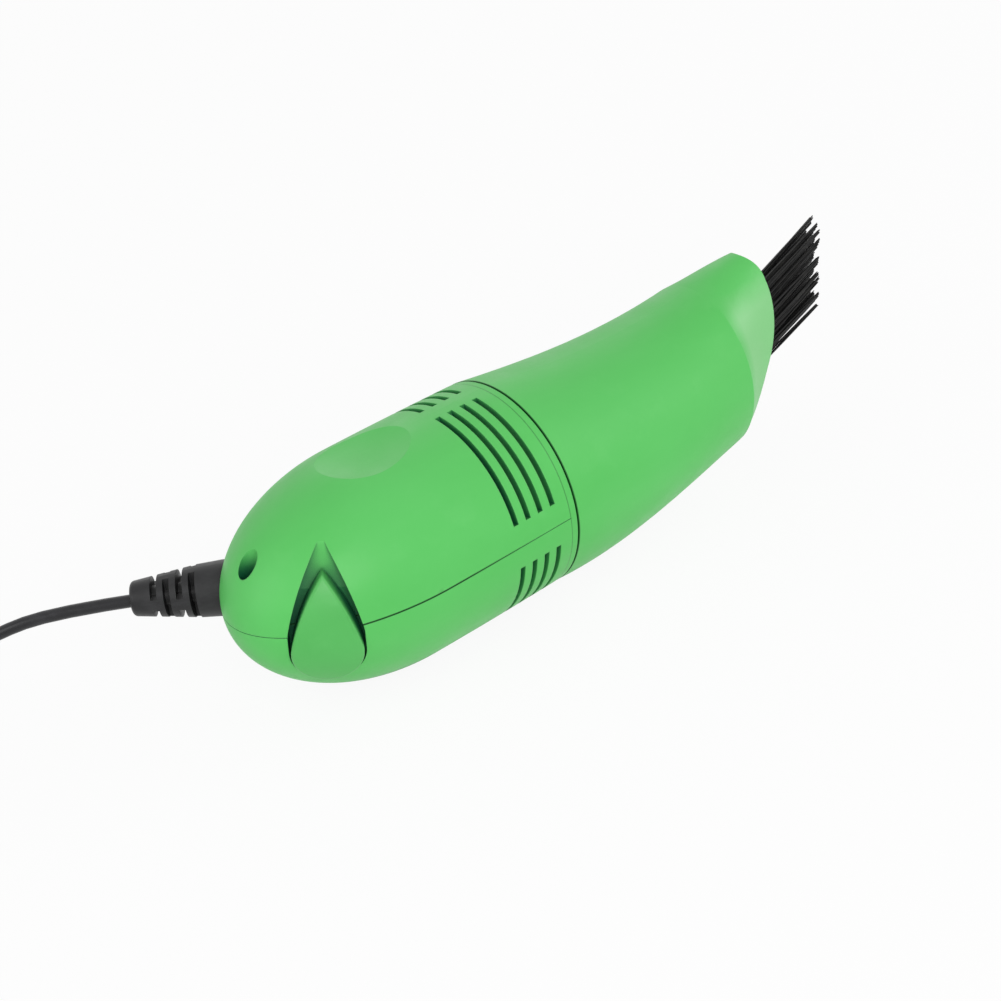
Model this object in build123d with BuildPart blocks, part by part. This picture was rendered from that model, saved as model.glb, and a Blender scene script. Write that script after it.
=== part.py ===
from build123d import *
from math import ceil, cos, hypot, pi, radians, sin, sqrt, tan
import os

# Hand-held USB keyboard vacuum: a round two-shell housing with a beaked nose and a brush.
# +X points to the nose and +Z up. The origin lies under the middle of the object,
# on the surface that it rests on. Lengths are in millimetres.
os.makedirs("parts", exist_ok=True)

# Overall body
barrel_radius = 22.6
seam_drop = 0.4
barrel_length = 33.0
tail_depth = 34.7
nose_length = 71.2
shell_wall = 2.0
fit_gap = 0.15
run_gap = 0.3
shaft_gap = 0.05
part_gap = 0.12
overrun = 12.0

# Front neck of the shells, with the ring that holds them together
neck_length = 6.0
neck_step = 2.2
neck_wall = 3.4
front_wall = 1.3
collar_width = 1.9
collar_edge = 0.3

# Exhaust slots, in four groups
slot_first = 5.6
slot_pitch = 3.18
slot_width = 1.25
slot_count = 4
slot_end_angle = 12.0
slot_top_angle = 84.3

# Thumb dimple on top
dimple_back = 33.3
dimple_length = 23.5
dimple_width = 16.5
dimple_depth = 1.9
dimple_hollow_radius = 90.0

# Tail screw and its posts
screw_ahead = 5.4
screw_post_radius = 3.4
screw_recess_radius = 2.15
screw_head_radius = 1.95
screw_head_height = 1.4
screw_seat_height = 3.2
screw_shank_radius = 1.15
screw_shank_length = 11.0
screw_slot_width = 0.55
screw_slot_depth = 0.7

# Teardrop switch button and its pocket
switch_angle = 50.0
switch_back = 58.3
switch_lift = 0.13
switch_lean = 5.5
button_radius = 6.9
button_drop = 4.8
button_tip_height = 11.3
button_shoulder_angle = 12.0
button_inner_depth = 5.0
button_proud = 1.1
button_edge = 0.6
button_travel = 3.4
pocket_gap = 0.4
pocket_tip_gap = 1.4
pocket_floor_depth = 5.3
pocket_floor_wall = 1.5
pocket_side_wall = 1.4
scoop_start_height = 7.0
scoop_tip_height = 17.4
scoop_tip_depth = 8.2
stem_width = 4.2
stem_height = 3.8
stem_end_gap = 0.3
lever_width = 1.6
lever_height = 1.8
lever_reach = 1.2
lever_foot_width = 4.0
lever_foot_height = 3.6
lever_foot_wall = 0.9
case_width = 6.4
case_height = 10.4
case_depth = 3.4
case_wall = 0.5
case_base_wall = 1.0
pin_length = 2.0
pin_radius = 0.4
pin_pitch = 3.4
pin_count = 3

# Motor, its plate and the ribs that hold them
motor_radius = 12.0
motor_length = 24.0
motor_edge = 1.2
plate_back = 17.8
plate_wall = 1.6
plate_edge_gap = 0.4
plate_rib_wall = 1.2
plate_rib_lap = 1.3
motor_boss_radius = 3.4
motor_boss_height = 1.2
motor_screw_out = 8.0
motor_screw_head_radius = 1.5
motor_screw_head_height = 0.6
motor_screw_radius = 0.8
motor_screw_length = 4.6
end_cap_radius = 11.6
end_cap_wall = 2.2
rear_boss_radius = 3.0
rear_boss_height = 1.8
cradle_wall = 1.6
cradle_backs = (25.0, 38.0)
terminal_width = 2.4
terminal_wall = 0.5
terminal_length = 3.6
terminal_out = 8.2
capacitor_radius = 2.4
capacitor_wall = 1.4
capacitor_out = 6.9
shaft_radius = 1.0

# Impeller, and the guide ring in front of it
impeller_back = 15.0
impeller_edge_gap = 2.5
impeller_disc_wall = 1.2
impeller_hub_radius = 3.2
impeller_hub_length = 8.2
blade_count = 9
blade_wall = 1.0
blade_height = 7.0
blade_root_radius = 5.4
blade_curve_radius = 13.0
guide_wall = 1.4
guide_bore = 8.5
guide_lip_height = 1.2
guide_lip_wall = 1.2
guide_edge_gap = 0.3

# Filter that stands in the neck
filter_flange_lap = 0.4
filter_flange_wall = 1.2
filter_spigot_wall = 1.3
filter_spigot_length = 4.6
filter_spoke_width = 1.3
filter_spoke_count = 6
filter_hub_radius = 3.0
filter_ring_radius = 10.0
filter_cloth_wall = 0.8

# Nose cap: places as shares of its length, half sizes and rises as shares of the seam radius
nose_wall = 1.6
nose_place_shares = (0.0, 0.2528, 0.5337, 0.7725)
nose_width_shares = (1.0, 0.9459, 0.8468, 0.7342)
nose_height_shares = (1.0, 0.9414, 0.8559, 0.8288)
nose_rise_shares = (0.0, -0.0495, -0.009, 0.0856)
beak_place_shares = (0.7725, 0.8567, 0.941, 1.0463)
beak_width_shares = (0.7342, 0.5586, 0.4505, 0.3423)
beak_height_shares = (0.8288, 0.8514, 0.8649, 0.8559)
beak_rise_shares = (0.0856, 0.1171, 0.1351, 0.1351)
lip_low_shares = (0.677, -0.8649)
lip_bend_shares = (0.9073, 0.018)
lip_turn_shares = (0.9775, 0.3514)
lip_front_shares = (1.0, 0.7658)
lip_crown_turn_shares = (0.993, 0.9189)
lip_crown_shares = (0.9607, 1.027)
nose_socket_length = 6.4
nose_edge = 0.3

# Brush, its holder, and the socket for it in the nose
brush_tilt = 21.5
brush_back = 13.2
brush_drop = 0.83
holder_half_height = 9.0
holder_half_width = 5.9
holder_length = 12.5
holder_pocket_depth = 2.4
holder_edge = 0.5
socket_wall = 1.4
socket_length = 9.5
socket_ledge_wall = 1.2
socket_ledge_width = 1.6
web_wall = 1.6
backing_wall = 1.2
bristle_length = 36.0
bristle_slant_share = 0.68
bristle_splay_share = 0.07
bristle_pitch = 0.56
bristle_width = 0.32
bristle_unevenness = 0.5
bristle_edge_gap = 0.3

# Strain relief on the cable
boot_angle = 41.5
boot_back = 59.55
boot_lift = 0.25
boot_length = 18.4
boot_base_radius = 5.5
boot_collar_radius = 5.2
boot_collar_length = 5.0
boot_tip_radius = 3.4
boot_tip_edge = 1.0
boot_core_radius = 2.1
boot_slot_width = 1.3
boot_rib_width = 1.3
boot_slot_count = 4
boot_web_width = 2.4
boot_flange_radius = 6.6
boot_flange_wall = 1.5
boot_flange_inset = 2.2
boot_root_radius = 4.6
boot_root_length = 5.2
boot_clamp_wall = 1.5

# Cable: its route runs along the boot's axis, and drops by shares from the body axis to the coil
cable_diameter = 2.6
cable_bore_gap = 0.1
cable_route = ((-6.5, 1.0), (31.0, 1.0), (50.0, 0.76), (66.0, 0.26), (78.0, 0.0), (88.0, 0.0))
tail_route = ((0.0, 4.95), (4.0, 4.95), (10.0, 4.3), (14.0, 4.3))
coil_end_angle = 135.0
coil_turns = 4
coil_middle_radius = 15.0
coil_pitch = 3.1
tie_width = 4.0
tie_wall = 0.4
tie_gap = 0.15
tie_corner = 0.8
bend_share = 0.45

# Wires inside the housing: their routes ahead of the seam, across and above the body axis
lead_diameter = 1.2
red_route = ((-54.57, 10.39, 0.65), (-51.57, 7.74, 0.65), (-48.28, -4.0, 1.69), (-50.16, -6.14, 1.69))
black_route = ((-54.57, 10.39, -0.65), (-51.57, 7.74, -0.65), (-52.7, 0.0, -8.2), (-49.35, 0.0, -8.2))
bridge_route = ((-49.91, -6.35, 5.08), (-48.33, -4.46, 5.58), (-47.6, -3.2, 8.2), (-47.6, -1.35, 8.2))

# Plug
plug_body_length = 22.0
plug_body_width = 15.6
plug_corner = 2.2
plug_edge = 0.8
plug_collar_length = 7.0
plug_collar_radius = 3.3
plug_shell_width = 12.0
plug_shell_height = 4.5
plug_shell_length = 12.0
plug_shell_wall = 0.4
plug_shell_root = 3.0
plug_window_width = 2.3
plug_window_length = 2.2
plug_window_spacing = 4.6
plug_window_out = 6.4
plug_tongue_back = 0.8
plug_tongue_wall = 1.8
plug_contact_width = 1.0
plug_contact_wall = 0.2
plug_contact_length = 8.4
plug_contact_pitch = 2.3
plug_contact_count = 4

# Places and radii that follow from the sizes above
seam_radius = barrel_radius - seam_drop
neck_radius = seam_radius - neck_step
neck_bore = neck_radius - neck_wall
plate_radius = barrel_radius - shell_wall - plate_edge_gap
plate_rib_bore = plate_radius - plate_rib_lap
impeller_radius = plate_rib_bore - impeller_edge_gap
guide_outer_radius = seam_radius - shell_wall - guide_edge_gap
filter_flange_radius = neck_bore + filter_flange_lap
axis_height = barrel_radius
housing_length = barrel_length + tail_depth
tilt = radians(brush_tilt)
brush_face = nose_length - brush_back
bundle_half_height = (holder_half_height - socket_wall) * (1 + bristle_splay_share)
tip_reach = bristle_length + bristle_slant_share * bundle_half_height
front_reach = brush_face + tip_reach * cos(tilt) - bundle_half_height * sin(tilt)
body_length = housing_length + front_reach
seam_x = housing_length - body_length / 2
axis_start = Vector(seam_x, 0, axis_height)
side_plane = Plane(origin=axis_start, x_dir=(1, 0, 0), z_dir=(0, -1, 0))
parting_plane = Plane(origin=axis_start, x_dir=(1, 0, 0), z_dir=(0, 0, 1))
body_axis = Axis(axis_start, (1, 0, 0))
front_wall_back = collar_width + front_wall
motor_front = plate_back + plate_wall
motor_rear = motor_front + motor_length
case_front_depth = pocket_floor_depth + pocket_floor_wall
screw_back = housing_length - screw_ahead


def station(distance):
    """Cross-section plane at a distance ahead of the seam; its x runs along Y, its y up."""
    return Plane(
        origin=(seam_x + distance, 0, axis_height), x_dir=(0, 1, 0), z_dir=(1, 0, 0)
    )


def housing_radius(back):
    """Radius of the housing's outer skin at a distance behind the seam."""
    if back > barrel_length:
        return barrel_radius * sqrt(1 - ((back - barrel_length) / tail_depth) ** 2)
    return barrel_radius - (barrel_radius - seam_radius) * (1 - back / barrel_length) ** 2


def housing_outline(inset, front):
    """Half outline of the housing, drawn in from the outer skin, from the tail to the front."""
    crown = (-barrel_length, barrel_radius - inset)
    EllipticalCenterArc(
        (-barrel_length, 0), tail_depth - inset, barrel_radius - inset, start_angle=90, arc_size=90
    )
    TangentArc(crown, (-front, housing_radius(front) - inset), tangent=(1, 0))
    Polyline((-front, housing_radius(front) - inset), (-front, 0), (-housing_length + inset, 0))


# Solid envelope of the housing, and a grown one that domes the button
with BuildPart() as housing_envelope:
    with BuildSketch(side_plane):
        with BuildLine():
            housing_outline(0, collar_width)
        make_face()
    revolve(axis=body_axis)

with BuildPart() as button_envelope:
    with BuildSketch(side_plane):
        with BuildLine():
            housing_outline(-button_proud, collar_width)
        make_face()
    revolve(axis=body_axis)

# Switch plane: it stands on the near side of the tail, faces outward and leans to the nose
switch_turn = radians(switch_angle)
switch_tip = radians(switch_lean)
switch_out = housing_radius(switch_back) + switch_lift
switch_plane = Plane(
    origin=axis_start + Vector(-switch_back, -switch_out, 0),
    x_dir=(
        sin(switch_turn) * cos(switch_tip), -cos(switch_turn) * cos(switch_tip), -sin(switch_tip)
    ),
    z_dir=(-cos(switch_turn), -sin(switch_turn), 0),
)
switch_side = Plane(
    origin=switch_plane.origin,
    x_dir=switch_plane.z_dir,
    z_dir=-switch_plane.x_dir,
)
shoulder = radians(button_shoulder_angle)
shoulder_point = (
    button_radius * cos(shoulder), button_radius * sin(shoulder) - button_drop
)
pocket_reach = 2 * button_radius + scoop_tip_height

# Teardrop outline of the button, and the outline that it sweeps when it slides up
with BuildSketch() as button_outline:
    with BuildLine():
        foot = ThreePointArc(
            (-shoulder_point[0], shoulder_point[1]),
            (0, -button_drop - button_radius),
            shoulder_point,
        )
        TangentArc(foot @ 1, (0, button_tip_height), tangent=foot % 1)
        TangentArc(foot @ 0, (0, button_tip_height), tangent=-(foot % 0))
    make_face()


def pocket_line(grow):
    """Outline that the button sweeps when it slides up, with a margin round it."""
    reach = button_radius + grow
    top = button_travel - button_drop
    ThreePointArc((-reach, -button_drop), (0, -button_drop - reach), (reach, -button_drop))
    for side in (1, -1):
        Line((side * reach, -button_drop), (side * reach, top))
        bend = TangentArc(
            (side * reach, top),
            (side * reach * cos(shoulder), top + reach * sin(shoulder)),
            tangent=(0, 1),
        )
        TangentArc(bend @ 1, (0, button_tip_height + button_travel + grow + pocket_tip_gap), tangent=bend % 1)


with BuildPart() as pocket_block:
    with BuildSketch(switch_plane):
        with BuildLine():
            pocket_line(pocket_gap + pocket_side_wall)
        make_face()
    extrude(amount=pocket_reach, both=True)
    with BuildSketch(switch_side):
        with BuildLine():
            Polyline(
                (overrun, -pocket_reach),
                (-case_front_depth, -pocket_reach),
                (-case_front_depth, scoop_start_height),
                (-scoop_tip_depth - pocket_floor_wall, scoop_tip_height),
                (-scoop_tip_depth - pocket_floor_wall, pocket_reach),
                (overrun, pocket_reach),
                close=True,
            )
        make_face()
    extrude(amount=pocket_reach, both=True, mode=Mode.INTERSECT)

with BuildPart() as pocket_void:
    with BuildSketch(switch_plane):
        with BuildLine():
            pocket_line(pocket_gap)
        make_face()
    extrude(amount=pocket_reach, both=True)
    with BuildSketch(switch_side):
        with BuildLine():
            Polyline(
                (overrun, -pocket_reach),
                (-pocket_floor_depth, -pocket_reach),
                (-pocket_floor_depth, scoop_start_height),
                (-scoop_tip_depth, scoop_tip_height),
                (overrun, scoop_tip_height),
                close=True,
            )
        make_face()
    extrude(amount=pocket_reach, both=True, mode=Mode.INTERSECT)

# Boot plane: the boot leaves the far side of the tail, level with the parting plane
boot_turn = radians(boot_angle)
boot_out = housing_radius(boot_back) + boot_lift
boot_plane = Plane(
    origin=axis_start + Vector(-boot_back, boot_out, 0),
    x_dir=(0, 0, 1),
    z_dir=(-cos(boot_turn), sin(boot_turn), 0),
)
boot_side = Plane(
    origin=boot_plane.origin,
    x_dir=boot_plane.z_dir,
    z_dir=boot_plane.z_dir.cross(Vector(0, 0, 1)),
)
boot_axis = Axis(boot_plane.origin, boot_plane.z_dir)
flange_inner = boot_flange_inset + boot_flange_wall

# Air space inside the shells: the ribs, pad, posts, clamp and pocket walls stand in it
with BuildPart() as air_space:
    with BuildSketch(side_plane):
        with BuildLine():
            housing_outline(shell_wall, front_wall_back)
        make_face()
    revolve(axis=body_axis)
    add(pocket_block.part, mode=Mode.SUBTRACT)
    # Ribs on both sides of the motor plate, and the cradle under the motor
    for back in (plate_back - fit_gap, motor_front + fit_gap + plate_rib_wall):
        with BuildSketch(station(-back)):
            Circle(barrel_radius)
            Circle(plate_rib_bore, mode=Mode.SUBTRACT)
        extrude(amount=plate_rib_wall, mode=Mode.SUBTRACT)
    for back in cradle_backs:
        with BuildSketch(station(-back - cradle_wall)):
            Circle(barrel_radius)
            Circle(motor_radius + fit_gap, mode=Mode.SUBTRACT)
        extrude(amount=cradle_wall, mode=Mode.SUBTRACT)
    with BuildSketch(parting_plane.offset(barrel_radius - dimple_depth - shell_wall)):
        with Locations((-dimple_back, 0)):
            Ellipse(dimple_length / 2, dimple_width / 2)
    extrude(amount=barrel_radius, mode=Mode.SUBTRACT)
    with BuildSketch(parting_plane):
        with Locations((-screw_back, 0)):
            Circle(screw_post_radius)
    extrude(amount=barrel_radius, both=True, mode=Mode.SUBTRACT)
    with BuildSketch(boot_plane.offset(-boot_root_length)):
        Circle(boot_flange_radius + boot_clamp_wall)
    extrude(amount=boot_root_length + overrun, mode=Mode.SUBTRACT)

# Hollow housing that both shells are cut from
with BuildPart() as housing_body:
    add(housing_envelope.part)
    add(air_space.part, mode=Mode.SUBTRACT)
    # Neck that the nose cap slides over
    with BuildSketch(station(-front_wall_back)):
        Circle(neck_radius)
    extrude(amount=front_wall_back + neck_length)
    with BuildSketch(station(-front_wall_back)):
        Circle(neck_bore)
    extrude(amount=front_wall_back + neck_length, mode=Mode.SUBTRACT)
    # Exhaust slots
    slot_reach = barrel_radius + overrun
    side_wedge = slot_reach * tan(radians(slot_end_angle))
    top_wedge = slot_reach / tan(radians(slot_top_angle))
    for i in range(slot_count):
        with BuildSketch(station(-slot_first - i * slot_pitch - slot_width / 2)):
            Circle(slot_reach)
            Circle(plate_rib_bore, mode=Mode.SUBTRACT)
            for side in (1, -1):
                Polygon(
                    (0, 0), (side * slot_reach, -side * side_wedge),
                    (side * slot_reach, side * side_wedge), align=None, mode=Mode.SUBTRACT,
                )
                Polygon(
                    (0, 0), (side * top_wedge, side * slot_reach),
                    (-side * top_wedge, side * slot_reach), align=None, mode=Mode.SUBTRACT,
                )
        extrude(amount=slot_width, mode=Mode.SUBTRACT)
    # Thumb dimple, hollow both along and across
    dimple_floor = barrel_radius - dimple_depth
    dimple_half = dimple_width / 2 + shell_wall
    dimple_rise = dimple_floor + dimple_half ** 2 / (2 * dimple_hollow_radius)
    dimple_turn_height = dimple_floor + (dimple_length / 2) ** 2 / (2 * dimple_depth)
    with BuildSketch(station(-dimple_back)):
        with BuildLine():
            ThreePointArc(
                (-dimple_half, dimple_rise), (0, dimple_floor), (dimple_half, dimple_rise)
            )
            Polyline(
                (dimple_half, dimple_rise),
                (dimple_half, dimple_turn_height),
                (-dimple_half, dimple_turn_height),
                (-dimple_half, dimple_rise),
            )
        make_face()
    revolve(
        axis=Axis(axis_start + Vector(-dimple_back, 0, dimple_turn_height), (0, 1, 0)),
        mode=Mode.SUBTRACT,
    )
    # Deep recess for the screw's head, and the hole for its shank
    with BuildSketch(parting_plane.offset(screw_seat_height)):
        with Locations((-screw_back, 0)):
            Circle(screw_recess_radius)
    extrude(amount=barrel_radius, mode=Mode.SUBTRACT)
    with BuildSketch(parting_plane.offset(screw_seat_height - screw_shank_length - fit_gap)):
        with Locations((-screw_back, 0)):
            Circle(screw_shank_radius + shaft_gap)
    extrude(amount=screw_shank_length + fit_gap, mode=Mode.SUBTRACT)
    # Passage for the boot, with a groove for its flange
    with BuildSketch(boot_plane.offset(-boot_root_length)):
        Circle(boot_root_radius + fit_gap)
    extrude(amount=boot_root_length, mode=Mode.SUBTRACT)
    with BuildSketch(boot_plane.offset(-flange_inner - fit_gap)):
        Circle(boot_flange_radius + fit_gap)
    extrude(amount=boot_flange_wall + 2 * fit_gap, mode=Mode.SUBTRACT)
    with BuildSketch(boot_plane.offset(-boot_flange_inset)):
        Circle(boot_base_radius + fit_gap)
    extrude(amount=boot_flange_inset + overrun, mode=Mode.SUBTRACT)
    # Switch pocket, and the slot in its floor for the button's stem
    add(pocket_void.part, mode=Mode.SUBTRACT)
    with BuildSketch(switch_plane.offset(-case_front_depth)):
        with Locations((0, button_travel / 2)):
            Rectangle(stem_width + 2 * pocket_gap, stem_height + button_travel + 2 * pocket_gap)
    extrude(amount=case_front_depth, mode=Mode.SUBTRACT)

with BuildPart() as upper_shell:
    add(housing_body.part)
    split(bisect_by=parting_plane.offset(part_gap / 2), keep=Keep.TOP)
upper_shell.part.label = "upper_shell"
export_step(upper_shell.part, "parts/upper_shell.step")

with BuildPart() as lower_shell:
    add(housing_body.part)
    split(bisect_by=parting_plane.offset(-part_gap / 2), keep=Keep.BOTTOM)
lower_shell.part.label = "lower_shell"
export_step(lower_shell.part, "parts/lower_shell.step")

with BuildPart() as collar_ring:
    with BuildSketch(station(-collar_width)):
        Circle(seam_radius)
        Circle(neck_radius + fit_gap, mode=Mode.SUBTRACT)
    extrude(amount=collar_width - fit_gap)
    front_rim = collar_ring.edges().group_by(Axis.X)[-1].sort_by(SortBy.RADIUS)[-1]
    chamfer(front_rim, length=collar_edge)
collar_ring.part.label = "collar_ring"
export_step(collar_ring.part, "parts/collar_ring.step")

with BuildPart() as shell_screw:
    with BuildSketch(parting_plane.offset(screw_seat_height)):
        with Locations((-screw_back, 0)):
            Circle(screw_head_radius)
    extrude(amount=screw_head_height)
    with BuildSketch(parting_plane.offset(screw_seat_height - screw_shank_length)):
        with Locations((-screw_back, 0)):
            Circle(screw_shank_radius)
    extrude(amount=screw_shank_length)
    with BuildSketch(parting_plane.offset(screw_seat_height + screw_head_height)):
        with Locations((-screw_back, 0)):
            Rectangle(2 * screw_head_radius, screw_slot_width)
            Rectangle(screw_slot_width, 2 * screw_head_radius)
    extrude(amount=-screw_slot_depth, mode=Mode.SUBTRACT)
shell_screw.part.label = "shell_screw"
export_step(shell_screw.part, "parts/shell_screw.step")


def nose_body(inset):
    """Solid inside the nose cap's skin, drawn in from it by an amount."""
    tables = (
        (nose_place_shares, nose_width_shares, nose_height_shares, nose_rise_shares),
        (beak_place_shares, beak_width_shares, beak_height_shares, beak_rise_shares),
    )
    with BuildPart() as body:
        for places, widths, heights, rises in tables:
            for place, width, height, rise in zip(places, widths, heights, rises):
                with BuildSketch(station(place * nose_length)):
                    with Locations((0, rise * seam_radius)):
                        Ellipse(width * seam_radius - inset, height * seam_radius - inset)
            loft()
    return body.part


def lip_point(shares):
    """Point of the lip's side outline, from its shares of the nose length and seam radius."""
    return shares[0] * nose_length, shares[1] * seam_radius


def brush_station(distance):
    """Plane across the brush's axis, at a distance ahead of the holder's face."""
    face = axis_start + Vector(brush_face, 0, -brush_drop)
    along = Vector(cos(tilt), 0, sin(tilt))
    return Plane(origin=face + along * distance, x_dir=(0, 1, 0), z_dir=along)


# Nose cap: a hollow beak whose mouth is cut aslant, thickened at the rear to fit the neck
nose_reach = seam_radius + overrun
lip_low = lip_point(lip_low_shares)
lip_crown = lip_point(lip_crown_shares)
with BuildPart() as mouth_cut:
    with BuildSketch(side_plane):
        with BuildLine():
            Polyline((lip_crown[0], nose_reach), (0, nose_reach), (0, -nose_reach))
            Polyline(
                (0, -nose_reach), (lip_low[0], -nose_reach), lip_low, lip_point(lip_bend_shares)
            )
            ThreePointArc(
                lip_point(lip_bend_shares), lip_point(lip_turn_shares), lip_point(lip_front_shares)
            )
            ThreePointArc(
                lip_point(lip_front_shares), lip_point(lip_crown_turn_shares), lip_crown
            )
            Line(lip_crown, (lip_crown[0], nose_reach))
        make_face()
    extrude(amount=nose_reach, both=True)

with BuildPart() as nose_root:
    with BuildSketch(station(0)):
        Circle(seam_radius)
    extrude(amount=nose_socket_length)
    add(nose_body(nose_wall / 2), mode=Mode.INTERSECT)

with BuildPart() as nose_cap:
    add(nose_body(0))
    add(nose_body(nose_wall), mode=Mode.SUBTRACT)
    add(mouth_cut.part, mode=Mode.INTERSECT)
    add(nose_root.part)
    with BuildSketch(station(0)):
        Circle(neck_radius + fit_gap)
    extrude(amount=nose_socket_length, mode=Mode.SUBTRACT)
    rear_rim = nose_cap.edges().group_by(Axis.X)[0].sort_by(SortBy.LENGTH)[-1]
    chamfer(rear_rim, length=nose_edge)
nose_cap.part.label = "nose_cap"
export_step(nose_cap.part, "parts/nose_cap.step")

# Socket that holds the brush in the nose: an oval sleeve with a ledge, on a web across the nose
socket_back = holder_length + socket_ledge_wall
with BuildPart() as brush_socket:
    with BuildSketch(brush_station(-socket_back)):
        Ellipse(
            holder_half_width + fit_gap + socket_wall, holder_half_height + fit_gap + socket_wall
        )
        Rectangle(2 * seam_radius, web_wall)
    extrude(amount=socket_length)
    with BuildSketch(brush_station(-holder_length)):
        Ellipse(holder_half_width + fit_gap, holder_half_height + fit_gap)
    extrude(amount=holder_length + overrun, mode=Mode.SUBTRACT)
    with BuildSketch(brush_station(-socket_back)):
        Ellipse(holder_half_width - socket_ledge_width, holder_half_height - socket_ledge_width)
    extrude(amount=socket_ledge_wall, mode=Mode.SUBTRACT)
    add(nose_body(nose_wall + run_gap), mode=Mode.INTERSECT)
brush_socket.part.label = "brush_socket"
export_step(brush_socket.part, "parts/brush_socket.step")

# Brush holder: an oval block with a shallow pocket that holds the backing of the bristles
pocket_half_width = holder_half_width - socket_wall
pocket_half_height = holder_half_height - socket_wall
with BuildPart() as brush_holder:
    with BuildSketch(brush_station(-holder_length)):
        Ellipse(holder_half_width, holder_half_height)
    extrude(amount=holder_length)
    face_rim = brush_holder.edges().sort_by(Axis(axis_start, brush_station(0).z_dir))[-1]
    chamfer(face_rim, length=holder_edge)
    with BuildSketch(brush_station(-holder_pocket_depth)):
        Ellipse(pocket_half_width, pocket_half_height)
    extrude(amount=holder_pocket_depth, mode=Mode.SUBTRACT)
brush_holder.part.label = "brush_holder"
export_step(brush_holder.part, "parts/brush_holder.step")

# Bristles: straight strands on a staggered grid that spread a little toward their tips
row_pitch = bristle_pitch * cos(pi / 6)
grid_half_width = pocket_half_width - bristle_edge_gap
grid_half_height = pocket_half_height - bristle_edge_gap
row_count = ceil(grid_half_height / row_pitch)
column_count = ceil(grid_half_width / bristle_pitch)
backing_face = backing_wall - holder_pocket_depth
root_plane = brush_station(backing_face)
strands = []
for row in range(-row_count, row_count + 1):
    for column in range(-column_count, column_count + 1):
        across = (column + (row % 2) / 2) * bristle_pitch
        up = row * row_pitch
        if hypot(across / grid_half_width, up / grid_half_height) > 1:
            continue
        lean = Vector(across * bristle_splay_share, up * bristle_splay_share, 0)
        uneven = bristle_unevenness * sin(len(strands) * radians(brush_tilt) * column_count)
        reach = bristle_length + bristle_slant_share * up + uneven - backing_face
        with BuildSketch(root_plane, mode=Mode.PRIVATE) as root:
            with Locations((across, up)):
                Rectangle(bristle_width, bristle_width)
        way = root_plane.from_local_coords(Vector(0, 0, reach) + lean) - root_plane.origin
        strands.append(Solid.extrude(root.sketch.faces()[0], way))

with BuildPart() as bristles:
    with BuildSketch(brush_station(-holder_pocket_depth)):
        Ellipse(pocket_half_width - fit_gap, pocket_half_height - fit_gap)
    extrude(amount=backing_wall)
    add(strands)
bristles.part.label = "bristles"
export_step(bristles.part, "parts/bristles.step")
print("strands", len(strands))

# Filter: a spoked frame that plugs into the neck, with its cloth behind the spokes
spigot_radius = neck_bore - fit_gap
with BuildPart() as filter_frame:
    with BuildSketch(station(neck_length)):
        Circle(filter_flange_radius)
        Circle(spigot_radius - filter_spigot_wall, mode=Mode.SUBTRACT)
        for radius in (filter_ring_radius, filter_hub_radius):
            Circle(radius)
            if radius > filter_hub_radius:
                Circle(radius - filter_spoke_width, mode=Mode.SUBTRACT)
        with PolarLocations(0, filter_spoke_count):
            with Locations((spigot_radius / 2, 0)):
                Rectangle(spigot_radius, filter_spoke_width)
    extrude(amount=filter_flange_wall)
    with BuildSketch(station(neck_length - filter_spigot_length)):
        Circle(spigot_radius)
        Circle(spigot_radius - filter_spigot_wall, mode=Mode.SUBTRACT)
    extrude(amount=filter_spigot_length)
filter_frame.part.label = "filter_frame"
export_step(filter_frame.part, "parts/filter_frame.step")

with BuildPart() as filter_cloth:
    with BuildSketch(station(neck_length - filter_cloth_wall)):
        Circle(spigot_radius - filter_spigot_wall - fit_gap)
    extrude(amount=filter_cloth_wall)
filter_cloth.part.label = "filter_cloth"
export_step(filter_cloth.part, "parts/filter_cloth.step")

# Guide ring that leads the air into the eye of the impeller
with BuildPart() as air_guide:
    with BuildSketch(station(-front_wall_back - guide_wall)):
        Circle(guide_outer_radius)
        Circle(guide_bore, mode=Mode.SUBTRACT)
    extrude(amount=guide_wall)
    with BuildSketch(station(-front_wall_back - guide_wall - guide_lip_height)):
        Circle(guide_bore + guide_lip_wall)
        Circle(guide_bore, mode=Mode.SUBTRACT)
    extrude(amount=guide_lip_height)
air_guide.part.label = "air_guide"
export_step(air_guide.part, "parts/air_guide.step")

# Impeller: a disc with curved blades and a hub
blade_end = sqrt(impeller_radius ** 2 - blade_root_radius ** 2)
with BuildSketch() as blade_outline:
    with BuildLine():
        RadiusArc((0, blade_root_radius), (blade_end, blade_root_radius), blade_curve_radius)
    trace(line_width=blade_wall)

with BuildPart() as impeller:
    with BuildSketch(station(-impeller_back - impeller_disc_wall)):
        Circle(impeller_radius)
    extrude(amount=impeller_disc_wall)
    with BuildSketch(station(-impeller_back)):
        with PolarLocations(0, blade_count):
            add(blade_outline.sketch)
    extrude(amount=blade_height)
    with BuildSketch(station(-impeller_back - impeller_disc_wall)):
        Circle(impeller_hub_radius)
    extrude(amount=impeller_hub_length)
    hub_rim = impeller.edges().filter_by(GeomType.CIRCLE).group_by(Axis.X)[-1].sort_by(SortBy.RADIUS)
    fillet(hub_rim[-1], radius=impeller_disc_wall / 2)
    with BuildSketch(station(-impeller_back - impeller_disc_wall)):
        Circle(shaft_radius + shaft_gap)
    extrude(amount=impeller_hub_length, mode=Mode.SUBTRACT)
impeller.part.label = "impeller"
export_step(impeller.part, "parts/impeller.step")

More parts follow.
